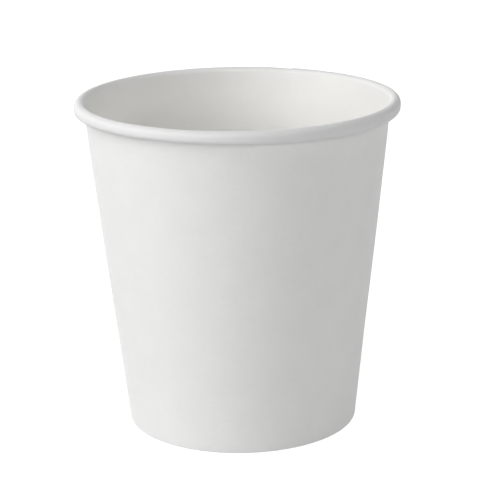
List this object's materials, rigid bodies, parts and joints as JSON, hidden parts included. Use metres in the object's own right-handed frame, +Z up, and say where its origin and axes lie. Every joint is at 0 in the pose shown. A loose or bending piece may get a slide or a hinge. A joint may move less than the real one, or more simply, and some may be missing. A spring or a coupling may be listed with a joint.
{
  "type": "paper cup",
  "caption": "White single-wall paper coffee cup, tapered, with a rolled rim, a lapped side seam and a recessed base held in a hemmed foot.",
  "frame": {"origin": "centre of the foot ring, on the plane of the table", "axes": "+Z up the cup's axis towards the mouth, -Y towards the picture's camera, +X to its right; the side seam is at the back, 67 degrees round from +X towards +Y"},
  "size_m": [0.073, 0.073, 0.0752],
  "materials": {
    "wall_board": "smooth white coated paperboard, soft satin",
    "base_board": "smooth white coated paperboard, soft satin"
  },
  "bodies": {
    "root": {"side_wall": "wall_board", "base_disc": "base_board"}
  },
  "joints": []
}
